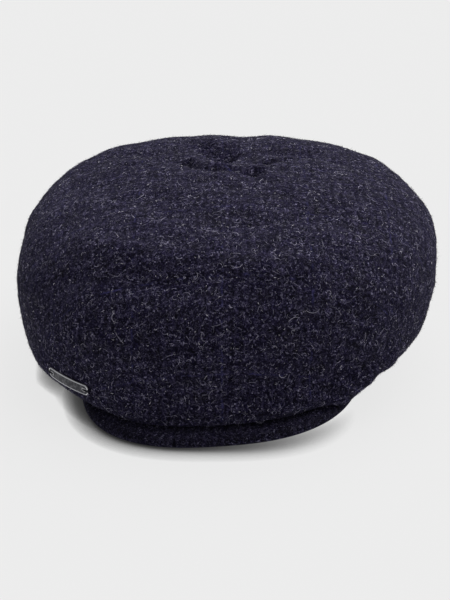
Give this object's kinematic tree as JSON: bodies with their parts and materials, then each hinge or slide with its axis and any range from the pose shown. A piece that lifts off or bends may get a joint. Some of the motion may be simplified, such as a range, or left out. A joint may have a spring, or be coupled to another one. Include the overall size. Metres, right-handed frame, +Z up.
{
  "type": "cap with a full soft crown and a short peak",
  "caption": "Soft tweed cap with a wide overhanging crown, a hollow in its top, a short cloth-covered peak and a small bare metal plate low on the side.",
  "frame": {"origin": "middle of the whole cap's box, on the surface that the cap stands on", "axes": "+Z up, the peak points along -Y, +X is the wearer's left"},
  "size_m": [0.2666, 0.2868, 0.123],
  "materials": {
    "crown_tweed": "matt woollen tweed, dark navy with light grey hairs and a faint check",
    "peak_tweed": "the same tweed drawn over a stiff board, rounded at the edge",
    "plate_metal": "aged pewter look, satin, with a brighter raised rim and a bare middle"
  },
  "bodies": {
    "root": {"crown": "crown_tweed", "peak": "peak_tweed", "badge_plate": "plate_metal"}
  },
  "joints": []
}
